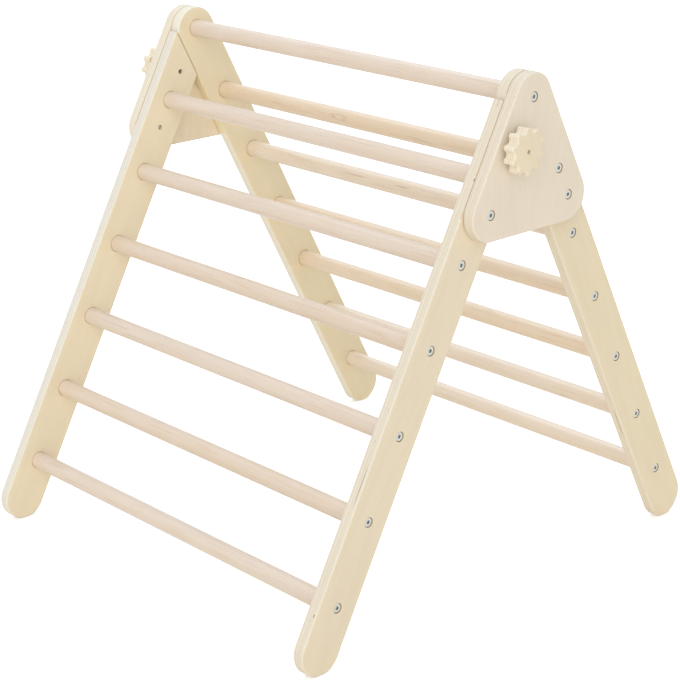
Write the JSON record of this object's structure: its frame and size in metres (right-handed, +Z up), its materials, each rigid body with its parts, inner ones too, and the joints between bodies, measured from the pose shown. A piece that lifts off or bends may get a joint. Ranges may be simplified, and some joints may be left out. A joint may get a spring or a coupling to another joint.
{
  "type": "folding climbing triangle",
  "caption": "Folding climbing triangle: ladders of round rungs that hinge on triangular side plates and are locked open by gear-shaped knobs.",
  "frame": {"origin": "on the floor, at the middle of the stance: halfway between the side plates and halfway between the front and rear feet", "axes": "+Z up, X along the rungs with +X to the right side, the front ladder on the -Y side and the rear ladder with the side plates on the +Y side"},
  "size_m": [0.784, 0.8032, 0.7578],
  "materials": {
    "birch_plywood": "birch plywood, sanded and sealed, with the plies showing on every edge",
    "beech": "turned beech rod, sanded, grain along the rod",
    "zinc_steel": "zinc-plated steel"
  },
  "bodies": {
    "rear_ladder": {"rear_rail_right": "birch_plywood", "rear_rail_left": "birch_plywood", "side_plate_right": "birch_plywood", "side_plate_left": "birch_plywood", "apex_rung": "beech", "rear_rung_1": "beech", "rear_rung_2": "beech", "rear_rung_3": "beech", "rear_rung_4": "beech", "rear_rung_5": "beech", "rear_rung_6": "beech", "rear_rung_screws_right": "zinc_steel", "rear_rung_screws_left": "zinc_steel", "plate_rung_screws_right": "zinc_steel", "plate_rung_screws_left": "zinc_steel", "plate_screw_right": "zinc_steel", "plate_screw_left": "zinc_steel"},
    "front_ladder": {"front_rail_right": "birch_plywood", "front_rail_left": "birch_plywood", "front_rung_1": "beech", "front_rung_2": "beech", "front_rung_3": "beech", "front_rung_4": "beech", "front_rung_5": "beech", "front_rung_6": "beech", "front_rung_screws_right": "zinc_steel", "front_rung_screws_left": "zinc_steel", "pivot_bolt_right": "zinc_steel", "pivot_bolt_left": "zinc_steel", "pivot_insert_right": "zinc_steel", "pivot_insert_left": "zinc_steel", "lock_insert_right": "zinc_steel", "lock_insert_left": "zinc_steel"},
    "washer_right": {"knob_washer_right": "zinc_steel"},
    "washer_left": {"knob_washer_left": "zinc_steel"},
    "knob_right": {"knob_right": "birch_plywood", "knob_insert_right": "zinc_steel", "lock_stud_right": "zinc_steel"},
    "knob_left": {"knob_left": "birch_plywood", "knob_insert_left": "zinc_steel", "lock_stud_left": "zinc_steel"}
  },
  "joints": [
    {"name": "ladder_fold", "type": "hinge", "parent": "rear_ladder", "child": "front_ladder", "pos_m": [0, -0.07793, 0.5784], "axis": [1, 0, 0], "range_deg": [0, 62]},
    {"name": "lock_right_travel", "type": "slide", "parent": "rear_ladder", "child": "washer_right", "axis": [-1, 0, 0], "range_m": [0, 0.0038]},
    {"name": "knob_right_turn", "type": "hinge", "parent": "washer_right", "child": "knob_right", "pos_m": [0.383, -0.03427, 0.66051], "axis": [-1, 0, 0], "range_deg": [0, 1080]},
    {"name": "lock_left_travel", "type": "slide", "parent": "rear_ladder", "child": "washer_left", "axis": [1, 0, 0], "range_m": [0, 0.0038]},
    {"name": "knob_left_turn", "type": "hinge", "parent": "washer_left", "child": "knob_left", "pos_m": [-0.383, -0.03427, 0.66051], "axis": [1, 0, 0], "range_deg": [0, 1080]}
  ],
  "couplings": [
    {"joint": "lock_right_travel", "follows": "knob_right_turn", "m_per_rad": 0.00019894},
    {"joint": "lock_left_travel", "follows": "knob_left_turn", "m_per_rad": 0.00019894}
  ]
}
